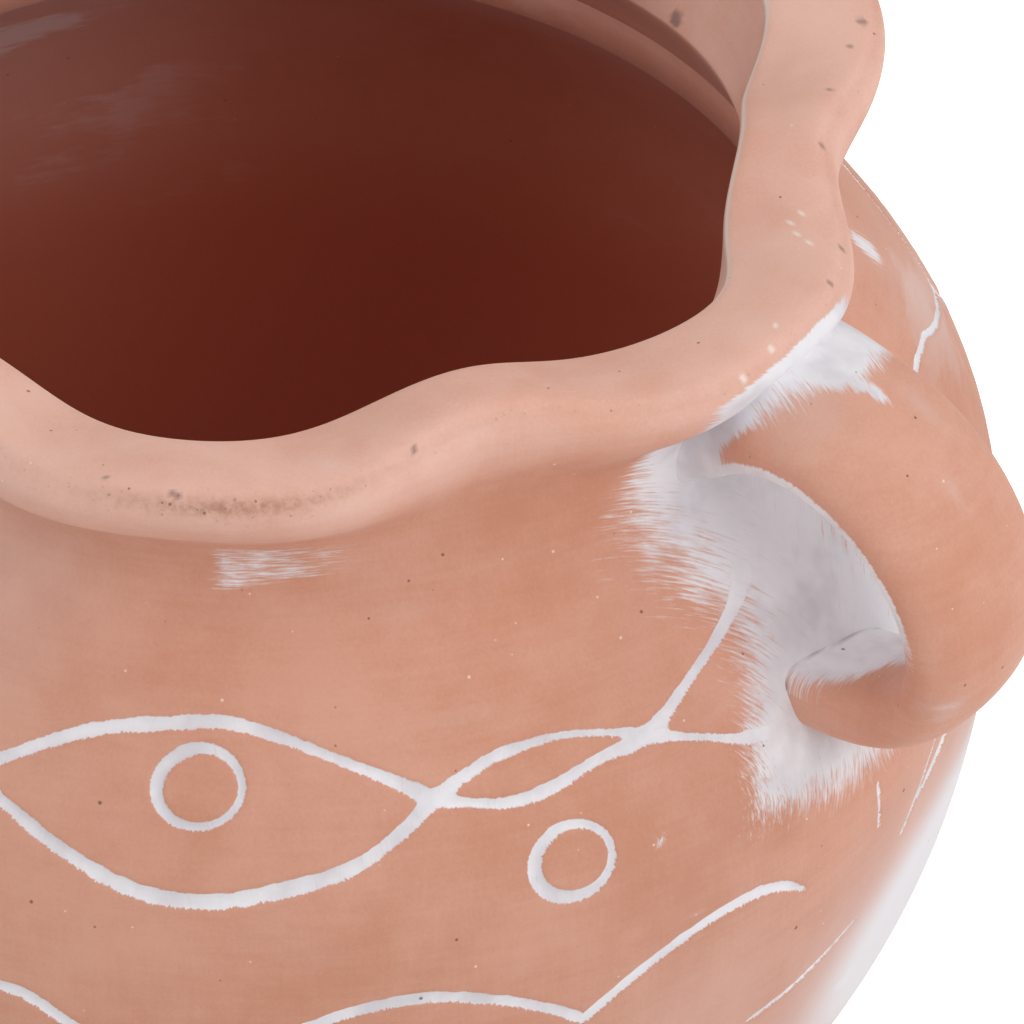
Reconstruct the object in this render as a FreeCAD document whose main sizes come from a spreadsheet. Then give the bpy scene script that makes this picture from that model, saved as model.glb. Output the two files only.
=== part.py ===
import FreeCAD, Part

import math
import os

import Sketcher
from FreeCAD import Placement, Rotation, Vector

# A terracotta flower pot: a thrown belly with a flat foot and a drain hole, a short collar with a
# broad lip pressed into six lobes, and three loop handles luted between the lip and the belly.
# The frame: +Z up, the origin in the middle of the drain hole on the face that the pot stands on,
# one lobe of the rim towards -Y, and a handle under every second lobe.

SIZES = {
    # belly
    "belly_radius": 92.0,
    "belly_height": 86.0,
    "foot_radius": 53.0,
    "foot_round": 2.5,
    "wall": 7.0,
    "floor_thickness": 8.0,
    "drain_radius": 6.0,
    "belly_arc_radius": 50.0,
    "belly_arc_rise": 24.0,
    "shoulder_rise": 43.0,
    "seat_inset": 21.7,
    # collar: it stands on the seat at the top of the shoulder, and its mouth's edge is rim_height up
    "collar_wall": 4.4,
    "rim_height": 21.3,
    "waist_depth": 1.2,
    "waist_drop": 14.3,
    "lip_overhang": 4.9,
    "lip_drop": 1.3,
    "lip_rise": 2.1,
    "lip_under_drop": 7.2,
    "lip_under_inset": 2.6,
    "lip_edge_round": 1.2,
    "bead_width": 3.2,
    "groove_depth": 0.5,
    "mouth_inset": 9.6,
    "mouth_edge_round": 0.9,
    "throat_step": 1.2,
    "throat_drop": 10.6,
    "lobe_depth": 3.9,
    "lobe_point": 1.1,
    "lobe_dip": 0.5,
    "crest_wave": 1.3,
    # handles
    "handle_width": 24.2,
    "handle_low_width": 20.2,
    "handle_top_flare": 9.0,
    "handle_thickness": 10.6,
    "handle_top_thickness": 13.6,
    "handle_low_thickness": 10.8,
    "handle_top_drop": 8.6,
    "handle_top_sink": 2.8,
    "handle_top_pull": 29.5,
    "handle_top_rise": 10.6,
    "handle_root_rise": 19.8,
    "handle_low_pull": 33.0,
    "handle_low_rise": 2.7,
    "handle_neck_sink": 2.2,
    "handle_neck_drop": 12.0,
    "handle_neck_thickness": 14.0,
    "handle_belly_sink": 4.5,
}

# counts and angles
LOBE_COUNT = 6
HANDLE_ANGLES = {"handle_right": -30, "handle_left": -150, "handle_back": 90}
LOBE_FRONT_ANGLE = -90
POINTS_PER_LOBE = 8
CUBIC = 3

# Where the handle's sections lie along it, and over which part of it the clay is spread at the lip.
STRAP_SHARES = [0, 0.06, 0.14, 0.24, 0.34, 0.44, 0.54, 0.64, 0.74, 0.84, 0.93, 1]
FLARE_SHARE = 0.2

# What each ring of the collar takes of the lobes' swing, of their point and of the crest's wave,
# from the seat up the outside, over the lip and down the inside.
SWING_SHARES = [0, 0.1, 0.2, 0.4, 0.75, 1, 1.25, 1.32, 1.3, 1.25, 1.2, 1.05, 1, 1, 1, 0.75, 0.2, 0.05, 0]
POINT_SHARES = [0, 0, 0, -0.2, -0.5, -0.7, -0.6, -0.5, -0.4, -0.2, 0.1, 0.6, 1, 1, 1, 0.6, 0, 0, 0]
WAVE_SHARES = [0, 0, 0, 0, 0.2, 0.35, 0.45, 0.5, 0.55, 0.6, 0.65, 0.8, 1, 1, 1, 0.5, 0, 0, 0]

SEWING_TOLERANCE = 1e-3
MATCH_TOLERANCE = 1e-6

doc = FreeCAD.newDocument("flower_pot")
sheet = doc.addObject("Spreadsheet::Sheet", "Sizes")
for row, (name, value) in enumerate(SIZES.items(), start=1):
    sheet.set(f"A{row}", name)
    sheet.set(f"B{row}", str(value))
    sheet.setAlias(f"B{row}", name)
doc.recompute()


def size(name):
    """Read one driving dimension back from the sheet."""
    return float(sheet.get(name))


def origin_plane(body, role):
    """Find one of the body's own origin planes by its role."""
    return next(item for item in body.Origin.OriginFeatures if item.Role == role)


# Belly

belly_radius = size("belly_radius")
belly_height = size("belly_height")
foot_radius = size("foot_radius")
wall = size("wall")
seat_radius = belly_radius - size("seat_inset")
bore = seat_radius - size("collar_wall")
seat_height = belly_height + size("shoulder_rise")
crest_height = seat_height + size("rim_height")


def lower_arc_radius():
    """The one arc that rises from the foot and is upright at the widest line."""
    inset = belly_radius - foot_radius
    return (inset ** 2 + belly_height ** 2) / (2 * inset)


def belly_profile():
    """Centres and joints of the three arcs of the outside of the wall."""
    low_radius = lower_arc_radius()
    low_centre = Vector(belly_radius - low_radius, belly_height, 0)
    mid_radius = size("belly_arc_radius")
    mid_centre = Vector(belly_radius - mid_radius, belly_height, 0)
    rise = size("belly_arc_rise")
    joint = mid_centre + Vector(math.sqrt(mid_radius ** 2 - rise ** 2), rise, 0)
    outward = (joint - mid_centre).normalize()
    seat_edge = Vector(seat_radius, seat_height, 0)
    chord = seat_edge - joint
    top_radius = -chord.Length ** 2 / (2 * outward.dot(chord))
    top_centre = joint - outward * top_radius
    return low_centre, low_radius, mid_centre, mid_radius, top_centre, top_radius, joint, seat_edge


def arc_through(centre, radius, first, last):
    """An arc from one point to another, anticlockwise round its centre."""
    start = math.atan2(first.y - centre.y, first.x - centre.x)
    end = math.atan2(last.y - centre.y, last.x - centre.x)
    return Part.ArcOfCircle(Part.Circle(centre, Vector(0, 0, 1), radius), start, end)


def point_at(centre, radius, height):
    """The point of an arc at one height, on the side away from the pot's axis."""
    return Vector(centre.x + math.sqrt(radius ** 2 - (height - centre.y) ** 2), height, 0)


body = doc.addObject("PartDesign::Body", "pot_body")
body.Label = "pot_body"
profile = body.newObject("Sketcher::SketchObject", "belly_profile")
profile.AttachmentSupport = [(origin_plane(body, "XZ_Plane"), "")]
profile.MapMode = "FlatFace"

low_c, low_r, mid_c, mid_r, top_c, top_r, joint, seat_edge = belly_profile()
floor = size("floor_thickness")
axis_foot = Vector(0, 0, 0)
foot_edge = Vector(foot_radius, 0, 0)
widest = Vector(belly_radius, belly_height, 0)
bore_edge = Vector(bore, seat_height, 0)
inner_top = Vector(bore, top_c.y + math.sqrt((top_r - wall) ** 2 - (bore - top_c.x) ** 2), 0)
inner_joint = joint - (joint - mid_c).normalize() * wall
inner_widest = Vector(belly_radius - wall, belly_height, 0)
inner_foot = point_at(low_c, low_r - wall, floor)
axis_floor = Vector(0, floor, 0)

BASE, LOW, MID, TOP, SEAT, BORE, IN_TOP, IN_MID, IN_LOW, FLOOR, AXIS = range(11)
START, END, CENTRE = range(1, 4)
ORIGIN = (-1, 1)

profile.addGeometry([
    Part.LineSegment(axis_foot, foot_edge),
    arc_through(low_c, low_r, foot_edge, widest),
    arc_through(mid_c, mid_r, widest, joint),
    arc_through(top_c, top_r, joint, seat_edge),
    Part.LineSegment(seat_edge, bore_edge),
    Part.LineSegment(bore_edge, inner_top),
    arc_through(top_c, top_r - wall, inner_joint, inner_top),
    arc_through(mid_c, mid_r - wall, inner_widest, inner_joint),
    arc_through(low_c, low_r - wall, inner_foot, inner_widest),
    Part.LineSegment(inner_foot, axis_floor),
    Part.LineSegment(axis_floor, axis_foot),
], False)


def join(first, first_end, second, second_end, kind="Coincident"):
    """Tie two ends of the profile to each other."""
    profile.addConstraint(Sketcher.Constraint(kind, first, first_end, second, second_end))


def place(kind, item, end, value, formula):
    """Hold one point at a distance from the axis or the foot that follows the sheet."""
    index = profile.addConstraint(Sketcher.Constraint(kind, *ORIGIN, item, end, value))
    profile.setExpression(f"Constraints[{index}]", formula)


# The outside, from the axis at the foot up to the seat.
join(BASE, START, *ORIGIN)
join(BASE, END, LOW, START)
join(LOW, END, MID, START)
join(MID, END, TOP, START, "Tangent")
join(TOP, END, SEAT, START)
profile.addConstraint(Sketcher.Constraint("Horizontal", BASE))
profile.addConstraint(Sketcher.Constraint("Horizontal", SEAT))
place("DistanceX", BASE, END, foot_radius, "Sizes.foot_radius")
place("DistanceX", LOW, END, belly_radius, "Sizes.belly_radius")
place("DistanceY", LOW, END, belly_height, "Sizes.belly_height")
place("DistanceY", LOW, CENTRE, belly_height, "Sizes.belly_height")
place("DistanceY", MID, CENTRE, belly_height, "Sizes.belly_height")
place("DistanceY", MID, END, joint.y, "Sizes.belly_height + Sizes.belly_arc_rise")
place("DistanceX", SEAT, START, seat_radius, "Sizes.belly_radius - Sizes.seat_inset")
place("DistanceY", SEAT, START, seat_height, "Sizes.belly_height + Sizes.shoulder_rise")
mid_size = profile.addConstraint(Sketcher.Constraint("Radius", MID, mid_r))
profile.setExpression(f"Constraints[{mid_size}]", "Sizes.belly_arc_radius")

# The inside: arcs about the same centres, a wall's thickness in.
join(SEAT, END, BORE, START)
join(BORE, END, IN_TOP, END)
join(IN_TOP, START, IN_MID, END, "Tangent")
join(IN_MID, START, IN_LOW, END)
join(IN_LOW, START, FLOOR, START)
join(FLOOR, END, AXIS, START)
join(AXIS, END, BASE, START)
join(IN_TOP, CENTRE, TOP, CENTRE)
join(IN_MID, CENTRE, MID, CENTRE)
join(IN_LOW, CENTRE, LOW, CENTRE)
profile.addConstraint(Sketcher.Constraint("Vertical", BORE))
profile.addConstraint(Sketcher.Constraint("Horizontal", FLOOR))
profile.addConstraint(Sketcher.Constraint("Vertical", AXIS))
place("DistanceX", SEAT, END, bore, "Sizes.belly_radius - Sizes.seat_inset - Sizes.collar_wall")
place("DistanceX", IN_MID, START, belly_radius - wall, "Sizes.belly_radius - Sizes.wall")
place("DistanceY", IN_MID, START, belly_height, "Sizes.belly_height")
place("DistanceY", FLOOR, END, floor, "Sizes.floor_thickness")

thrown = body.newObject("PartDesign::Revolution", "thrown_wall")
thrown.Profile = (profile, [""])
thrown.ReferenceAxis = (profile, ["V_Axis"])
thrown.Angle = 360
doc.recompute()


def edge_at(shape, radius, height):
    """Name of the round edge of a given radius that lies at a given height."""
    for index, edge in enumerate(shape.Edges, start=1):
        curve = edge.Curve
        if isinstance(curve, Part.Circle) and math.isclose(curve.Radius, radius, rel_tol=MATCH_TOLERANCE):
            if math.isclose(curve.Center.z, height, abs_tol=radius * MATCH_TOLERANCE):
                return f"Edge{index}"
    raise ValueError("no such edge")


foot_fillet = body.newObject("PartDesign::Fillet", "foot_rounding")
foot_fillet.Base = (thrown, [edge_at(thrown.Shape, foot_radius, 0)])
foot_fillet.setExpression("Radius", "Sizes.foot_round")
foot_fillet.Radius = size("foot_round")

drain = body.newObject("Sketcher::SketchObject", "drain_circle")
drain.AttachmentSupport = [(origin_plane(body, "XY_Plane"), "")]
drain.MapMode = "FlatFace"
drain.addGeometry(Part.Circle(Vector(0, 0, 0), Vector(0, 0, 1), size("drain_radius")), False)
drain.addConstraint(Sketcher.Constraint("Coincident", 0, CENTRE, *ORIGIN))
drain_size = drain.addConstraint(Sketcher.Constraint("Radius", 0, size("drain_radius")))
drain.setExpression(f"Constraints[{drain_size}]", "Sizes.drain_radius")
doc.recompute()

before = foot_fillet.Shape.Volume
drain_hole = body.newObject("PartDesign::Pocket", "drain_hole")
drain_hole.Profile = (drain, [""])
drain_hole.Type = "Length"
drain_hole.Reversed = True
drain_hole.setExpression("Length", "Sizes.floor_thickness")
doc.recompute()
plug = math.pi * size("drain_radius") ** 2 * floor
if not math.isclose(before - drain_hole.Shape.Volume, plug, rel_tol=SEWING_TOLERANCE):
    raise ValueError("the drain hole cuts nothing")


# Collar

rim_height = size("rim_height")
lip_radius = seat_radius + size("lip_overhang")
lip_rise = size("lip_rise")
lip_drop = size("lip_drop")
under_drop = size("lip_under_drop")
under_inset = size("lip_under_inset")
edge_round = size("lip_edge_round")
bead_width = size("bead_width")
mouth_radius = seat_radius - size("mouth_inset")
mouth_round = size("mouth_edge_round")
throat_radius = mouth_radius - size("throat_step")
throat_drop = size("throat_drop")
waist_radius = seat_radius - size("waist_depth")
waist_drop = size("waist_drop")
groove_radius = lip_radius - bead_width


def stand_out(waves):
    """How far the control points stand out, so that the spline itself follows the wave."""
    return 3 / (2 + math.cos(2 * math.pi * waves / (LOBE_COUNT * POINTS_PER_LOBE)))


def lobed_ring(radius, rise, swing_share, point_share, wave_share):
    """A closed spline round the axis that swings out at each lobe and in at each pinch.

    The quick wave goes twice as fast as the slow one. It draws the lobes to soft points, and lifts
    the crest a little at the lobes and at the pinches.
    """
    total = LOBE_COUNT * POINTS_PER_LOBE
    points = []
    for step in range(total):
        turn = 2 * math.pi * step / total
        phase = LOBE_COUNT * (turn - math.radians(LOBE_FRONT_ANGLE))
        slow_wave = math.cos(phase) * stand_out(LOBE_COUNT)
        quick_wave = math.cos(2 * phase) * stand_out(2 * LOBE_COUNT)
        swing = swing_share * size("lobe_depth") * slow_wave + point_share * size("lobe_point") * quick_wave
        reach = radius * stand_out(1) + swing
        lift = wave_share * (size("crest_wave") * quick_wave - size("lobe_dip") * slow_wave)
        points.append(Vector(reach * math.cos(turn), reach * math.sin(turn), crest_height + rise + lift))
    curve = Part.BSplineCurve()
    knots = [float(step) for step in range(total + 1)]
    curve.buildFromPolesMultsKnots(points, [1] * (total + 1), knots, True, CUBIC)
    return Part.Wire([curve.toShape()])


# The rings of the collar, from the seat up the outside, over the lip and down the inside. Each has
# a radius and its rise above the mouth's edge.
ring_places = [
    (seat_radius, -rim_height),
    (seat_radius - size("waist_depth") / 2, -(rim_height + waist_drop) / 2),
    (waist_radius, -waist_drop),
    ((3 * waist_radius + lip_radius - under_inset) / 4, -(waist_drop + under_drop) / 2),
    (lip_radius - under_inset, -under_drop),
    (lip_radius - under_inset / 5, -(under_drop + lip_drop) / 2),
    (lip_radius, -lip_drop),
    (lip_radius - edge_round / 4, lip_rise - edge_round),
    (lip_radius - bead_width / 2, lip_rise),
    (groove_radius, lip_rise - size("groove_depth")),
    (groove_radius - bead_width / 2, lip_rise),
    ((groove_radius + mouth_radius) / 2, 3 * lip_rise / 4),
    (mouth_radius + mouth_round, lip_rise / 4),
    (mouth_radius + mouth_round / 3, 0),
    (mouth_radius, -mouth_round),
    ((mouth_radius + throat_radius) / 2, -throat_drop / 2),
    (throat_radius, -throat_drop),
    ((3 * throat_radius + 2 * bore) / 5, -(3 * throat_drop + 2 * rim_height) / 5),
    (bore, -rim_height),
]
ring_shares = zip(SWING_SHARES, POINT_SHARES, WAVE_SHARES)
rings = [lobed_ring(*place, *shares) for place, shares in zip(ring_places, ring_shares)]
collar_skin = Part.makeLoft(rings, False, True)
seat_face = Part.Face([rings[0], rings[-1]])
collar_solid = Part.Solid(Part.Shell(collar_skin.Faces + [seat_face]))
collar_solid.fix(SEWING_TOLERANCE, SEWING_TOLERANCE, SEWING_TOLERANCE)

collar = doc.addObject("Part::Feature", "rim_collar")
collar.Label = "rim_collar"
collar.Shape = collar_solid
collar.Placement = Placement()


# Handles

root_radius = point_at(mid_c, mid_r, belly_height + size("handle_root_rise")).x
top_start = Vector(lip_radius - size("handle_top_sink"), 0, crest_height - size("handle_top_drop"))
top_pull = Vector(size("handle_top_pull"), 0, size("handle_top_rise"))
low_end = Vector(root_radius, 0, belly_height + size("handle_root_rise"))
low_pull = Vector(size("handle_low_pull"), 0, size("handle_low_rise"))


def handle_point(share):
    """A point of the handle's middle line, from the lip at 0 to the belly at 1, and its direction."""
    rest = 1 - share
    first = top_start + top_pull
    second = low_end + low_pull
    point = (top_start * rest ** 3 + first * (3 * share * rest ** 2)
             + second * (3 * share ** 2 * rest) + low_end * share ** 3)
    direction = ((first - top_start) * rest ** 2 + (second - first) * (2 * share * rest)
                 + (low_end - second) * share ** 2)
    return point, direction.normalize()


def through(share, top, middle, low):
    """A smooth run of sizes with given values at the top root, the middle and the low root."""
    return (top * (2 * share - 1) * (share - 1) + middle * 4 * share * (1 - share)
            + low * share * (2 * share - 1))


def handle_section(share):
    """Width and thickness of the strap at a share of its length, with the clay spread at the lip."""
    width = through(share, size("handle_width"), size("handle_width"), size("handle_low_width"))
    thickness = through(share, size("handle_top_thickness"), size("handle_thickness"),
                        size("handle_low_thickness"))
    spread = max(0, 1 - share / FLARE_SHARE) ** 2
    return width + size("handle_top_flare") * spread, thickness


def make_handle(name, angle, pot_wall):
    """A strap of oval sections drawn between the lip and the belly, trimmed to both of them."""
    neck_root = Vector(waist_radius - size("handle_neck_sink"), 0, crest_height - size("handle_neck_drop"))
    last_point, last_way = handle_point(1)
    stations = [(neck_root, Vector(1, 0, 0), handle_section(0)[0], size("handle_neck_thickness"))]
    stations += [(*handle_point(share), *handle_section(share)) for share in STRAP_SHARES]
    belly_root = last_point + last_way * size("handle_belly_sink")
    stations += [(belly_root, last_way, *handle_section(1))]
    turn = Rotation(Vector(0, 0, 1), angle)
    sections = []
    for number, (point, way, width, thickness) in enumerate(stations):
        oval = doc.addObject("Part::Ellipse", f"{name}_section_{number}")
        oval.setExpression("MajorRadius", f"Sizes.handle_width * {width / size('handle_width'):.5f} / 2")
        oval.setExpression(
            "MinorRadius", f"Sizes.handle_thickness * {thickness / size('handle_thickness'):.5f} / 2")
        upright = Rotation(Vector(0, 1, 0), Vector(0, 0, 0), way, "ZXY")
        oval.Placement = Placement(turn.multVec(point), turn.multiply(upright))
        sections.append(oval)
    strap = doc.addObject("Part::Loft", f"{name}_strap")
    strap.Sections = sections
    strap.Solid = True
    strap.Ruled = True
    handle = doc.addObject("Part::Cut", name)
    handle.Label = name
    handle.Base = strap
    handle.Tool = pot_wall
    handle.Refine = False
    return handle


pot_wall = doc.addObject("Part::MultiFuse", "pot_wall")
pot_wall.Shapes = [body, collar]
handles = [make_handle(name, angle, pot_wall) for name, angle in HANDLE_ANGLES.items()]
doc.recompute()


# Checks and files

for item in doc.Objects:
    if "Invalid" in item.State or "Error" in item.State:
        raise ValueError(f"{item.Name} did not recompute: {item.State}")

os.makedirs("parts", exist_ok=True)
for item in [body, collar, *handles]:
    shape = item.Shape
    if shape.isNull() or not shape.isValid() or len(shape.Solids) != 1:
        raise ValueError(f"{item.Label} is not one sound solid")
    box = shape.BoundBox
    print(item.Label, round(shape.Volume), [round(value, 1) for value in (
        box.XMin, box.YMin, box.ZMin, box.XMax, box.YMax, box.ZMax)])
for item in [body, collar, *handles]:
    item.Shape.exportStep(os.path.join("parts", f"{item.Label}.step"))
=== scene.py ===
import math

import bpy
import numpy as np
from mathutils import Matrix, Vector, kdtree, noise


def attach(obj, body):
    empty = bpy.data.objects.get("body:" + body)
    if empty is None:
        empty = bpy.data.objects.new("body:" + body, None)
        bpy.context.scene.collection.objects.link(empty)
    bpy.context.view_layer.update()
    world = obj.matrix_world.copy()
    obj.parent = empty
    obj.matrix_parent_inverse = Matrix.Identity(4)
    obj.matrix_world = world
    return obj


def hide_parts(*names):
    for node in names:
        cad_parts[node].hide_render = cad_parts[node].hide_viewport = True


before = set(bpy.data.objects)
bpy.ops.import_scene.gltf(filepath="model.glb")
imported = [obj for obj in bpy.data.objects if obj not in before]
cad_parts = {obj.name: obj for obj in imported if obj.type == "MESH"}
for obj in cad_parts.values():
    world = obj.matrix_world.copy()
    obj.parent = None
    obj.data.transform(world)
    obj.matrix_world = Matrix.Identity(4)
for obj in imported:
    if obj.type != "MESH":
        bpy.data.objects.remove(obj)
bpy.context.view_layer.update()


# pot_body: the belly, thrown on the wheel in red earthenware with a flat foot and a drain hole.
# The lines are cut into the leather-hard wall, filled with white slip and wiped flush, and more slip
# is brushed round the ears. It is fired unglazed.

MM = 0.001
belly_radius = 92.0 * MM
belly_height = 86.0 * MM
foot_radius = 53.0 * MM
foot_round = 2.5 * MM
wall = 7.0 * MM
floor_thickness = 8.0 * MM
drain_radius = 6.0 * MM
belly_arc_radius = 50.0 * MM
belly_arc_rise = 24.0 * MM
seat_radius = 70.3 * MM
seat_height = 129.0 * MM
bore_radius = 65.9 * MM
crest_height = 150.3 * MM
panel_angles = [-90.0, 30.0, 150.0]
handle_angles = {"handle_right": -30.0, "handle_left": -150.0, "handle_back": 90.0}


def arc_points(centre, radius, first, last, step):
    """Points along an arc, anticlockwise from one point to another, about a step apart."""
    start = math.atan2(first[1] - centre[1], first[0] - centre[0])
    end = math.atan2(last[1] - centre[1], last[0] - centre[0])
    turns = np.linspace(start, end, max(2, round(abs(end - start) * radius / step)) + 1)
    return np.stack([centre[0] + radius * np.cos(turns), centre[1] + radius * np.sin(turns)], 1)


def straight_points(first, last, step):
    """Points along a straight run, about a step apart."""
    length = math.dist(first, last)
    return np.linspace(first, last, max(1, round(length / step)) + 1)


# The outside of the wall is three arcs: foot to widest line, widest line to shoulder, shoulder to neck.
inset = belly_radius - foot_radius
low_radius = (inset ** 2 + belly_height ** 2) / (2 * inset)
low_centre = np.array([belly_radius - low_radius, belly_height])
mid_centre = np.array([belly_radius - belly_arc_radius, belly_height])
joint_out = math.sqrt(belly_arc_radius ** 2 - belly_arc_rise ** 2)
joint = mid_centre + [joint_out, belly_arc_rise]
outward = (joint - mid_centre) / belly_arc_radius
seat_edge = np.array([seat_radius, seat_height])
chord = seat_edge - joint
top_radius = -(chord @ chord) / (2 * outward @ chord)
top_centre = joint - outward * top_radius
widest = np.array([belly_radius, belly_height])
foot_reach = low_centre[0] + math.sqrt(low_radius ** 2 - (foot_round - belly_height) ** 2)
foot_start = np.array([foot_reach, foot_round])
corner = np.array([foot_radius, 0.0])
foot_flat = np.array([foot_radius - foot_round, 0.0])
bend = np.linspace(0, 1, 7)[:, None]
foot_turn = foot_flat * (1 - bend) ** 2 + corner * 2 * bend * (1 - bend) + foot_start * bend ** 2

fine_step = 0.1 * MM
wall_step = 2.4 * MM
outside = np.concatenate([
    arc_points(low_centre, low_radius, foot_start, widest, fine_step)[:-1],
    arc_points(mid_centre, belly_arc_radius, widest, joint, fine_step)[:-1],
    arc_points(top_centre, top_radius, joint, seat_edge, fine_step),
])
bore_edge = np.array([bore_radius, seat_height])
in_top_height = top_centre[1] + math.sqrt((top_radius - wall) ** 2 - (bore_radius - top_centre[0]) ** 2)
inner_top = np.array([bore_radius, in_top_height])
inner_joint = joint - outward * wall
inner_widest = np.array([belly_radius - wall, belly_height])
low_inside = low_radius - wall
inner_foot_reach = low_centre[0] + math.sqrt(low_inside ** 2 - (floor_thickness - belly_height) ** 2)
inner_foot = np.array([inner_foot_reach, floor_thickness])
inside = np.concatenate([
    straight_points(seat_edge, bore_edge, wall_step)[1:],
    straight_points(bore_edge, inner_top, wall_step)[1:],
    arc_points(top_centre, top_radius - wall, inner_joint, inner_top, wall_step)[::-1][1:],
    arc_points(mid_centre, belly_arc_radius - wall, inner_widest, inner_joint, wall_step)[::-1][1:],
    arc_points(low_centre, low_inside, inner_foot, inner_widest, wall_step)[::-1][1:],
    straight_points(inner_foot, (drain_radius, floor_thickness), wall_step)[1:],
    straight_points((drain_radius, floor_thickness), (drain_radius, 0), wall_step)[1:],
    straight_points((drain_radius, 0), foot_flat, wall_step)[1:],
    foot_turn[1:-1],
])
run = np.concatenate([[0], np.cumsum(np.linalg.norm(np.diff(outside, axis=0), axis=1))])
wall_length = run[-1]


def wall_at(along):
    """Radius, height and outward direction of the outside at a length along it from the foot."""
    radius = np.interp(along, run, outside[:, 0])
    height = np.interp(along, run, outside[:, 1])
    slope = np.gradient(outside, run, axis=0)
    out_r = np.interp(along, run, slope[:, 1])
    out_z = -np.interp(along, run, slope[:, 0])
    return radius, height, out_r, out_z


def along_at(height):
    """Length along the outside at which it reaches a height."""
    return np.interp(height, outside[:, 1], run)


def smooth_through(points, per_span):
    """A smooth line through given points, as many points to a span as asked."""
    points = np.asarray(points, float)
    ends = np.concatenate([[2 * points[0] - points[1]], points, [2 * points[-1] - points[-2]]])
    line = []
    for before, start, end, after in zip(ends, ends[1:], ends[2:], ends[3:]):
        for t in np.arange(per_span) / per_span:
            line.append(0.5 * (2 * start + (end - before) * t
                               + (2 * before - 5 * start + 4 * end - after) * t * t
                               + (3 * start - before - 3 * end + after) * t ** 3))
    return np.array(line + [points[-1]])


# The incised pattern of one panel: degrees from the panel's middle, millimetres above the foot, and half
# the line's width. Two strokes weave from ear to ear and make the almonds, with circles and scallops.
over_stroke = [
    (-55, 122.5, 1.7), (-50.5, 119.5, 1.1), (-46, 116.6, 0.8), (-40, 113.6, 0.65), (-35, 111.8, 0.9),
    (-30.5, 110.9, 0.7), (-26, 109.7, 0.8), (-22.5, 109.4, 0.75), (-19, 110.2, 0.9), (-16.4, 111.7, 0.95),
    (-13.8, 113.8, 0.75), (-9.6, 116.7, 0.75), (-5.2, 118.7, 0.85), (2.3, 120, 0.85), (5.7, 119.8, 0.8),
    (9.5, 118.5, 0.7), (13.1, 116.7, 0.6), (17.4, 114.2, 0.75), (21.2, 111.5, 1.0), (23.8, 110.4, 0.6),
    (27.1, 109.5, 0.7), (30.5, 109.8, 0.85), (35.2, 111.3, 0.7), (39.9, 111.9, 1.05), (45, 115.2, 0.65),
    (51.5, 119, 0.95), (54.5, 121.5, 1.7)]
under_stroke = [
    (-49, 104.8, 1.2), (-44, 107.4, 0.6), (-39.5, 109.5, 0.8), (-35, 111.9, 0.95), (-32, 113.3, 0.7),
    (-27, 115, 0.65), (-21.5, 114.6, 0.75), (-16.4, 111.6, 0.95), (-13.2, 109.6, 0.8), (-10.5, 107.6, 0.85),
    (-7.9, 105.6, 0.9), (-2.3, 102.2, 1.0), (2.9, 101.3, 1.05), (8.1, 102.5, 1.0), (14.2, 104.9, 0.95),
    (18.2, 108.2, 0.85), (21.2, 111.3, 0.95), (24.2, 113.3, 0.7), (27, 114.5, 0.7), (32.4, 114.8, 0.45),
    (37.4, 113.2, 0.5), (39.9, 111.8, 0.9), (44.2, 109.4, 0.4), (47.7, 107.1, 0.7), (51, 105.8, 1.2)]
# The panel behind the right ear has one stroke less before its second crossing, and no circle there.
late_stroke = [
    (-46, 107, 1.1), (-40, 112.5, 0.6), (-35, 116.5, 0.5), (-29.5, 118.1, 0.5), (-24.3, 117.2, 0.45),
    (-19.5, 114.2, 0.5), (-15, 112, 0.5), (-11.5, 111.3, 0.55), (-8.6, 114.6, 0.5), (-5.1, 118.7, 0.55),
    (0, 121.2, 0.85), (6, 121.3, 0.8), (13, 118.2, 0.7), (21, 112.4, 0.9)] + over_stroke[19:]
late_under_stroke = [(-11.5, 111.3, 0.5)] + under_stroke[9:]
late_panel = 1
scallop_strokes = [
    [(-52, 80, 0.5), (-46, 85, 0.8), (-40, 86.4, 0.85), (-34, 83.5, 0.85), (-27.5, 77, 0.7)],
    [(-27.5, 77, 0.7), (-22, 82.2, 0.8), (-17, 85.4, 0.8), (-12, 86.1, 0.85), (-9.6, 85.2, 0.85),
     (-7, 82.5, 0.8), (-2, 77.6, 0.8), (2.5, 74, 0.7)],
    [(2.5, 74, 0.7), (7, 80.6, 0.8), (12.1, 84.8, 0.8), (16.2, 86.6, 0.85), (20.6, 86.6, 0.85),
     (25.2, 84.4, 0.75), (29.2, 81.1, 0.75), (32.1, 77.7, 0.8)],
    [(32.1, 77.7, 0.8), (36.6, 82.4, 0.75), (41.8, 85.6, 0.75), (46.5, 86.4, 0.8), (50, 85, 0.75),
     (52.7, 81.9, 0.3)],
]
drip_strokes = [
    [(61.5, 89.5, 0.3), (61.9, 82.3, 0.25)], [(71.3, 87, 0.25), (65.8, 76.7, 0.35)],
    [(60.5, 68.6, 0.25), (53.6, 65.2, 0.4), (48.3, 63.8, 0.35)],
]
# Each circle: degrees, millimetres up, radius, half width, and the side on which the line is widest.
circle_marks = [(-27.0, 101.2, 5.0, 0.7, 90), (2.5, 113.7, 4.8, 0.62, 150), (31.6, 101.0, 4.8, 0.72, 205)]
line_depth = 0.4 * MM
burr_height = 0.05 * MM
hand_shake = 0.35 * MM
steady_hand = 0.25
line_points = 40
circle_points = 160
circle_start = math.radians(110)
circle_end = math.radians(110 + 368)
panel_shifts = [(0, 0), (0, 0), (-3, -1.5)]
merging = 0.28 * MM
far_off = 9 * MM


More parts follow.
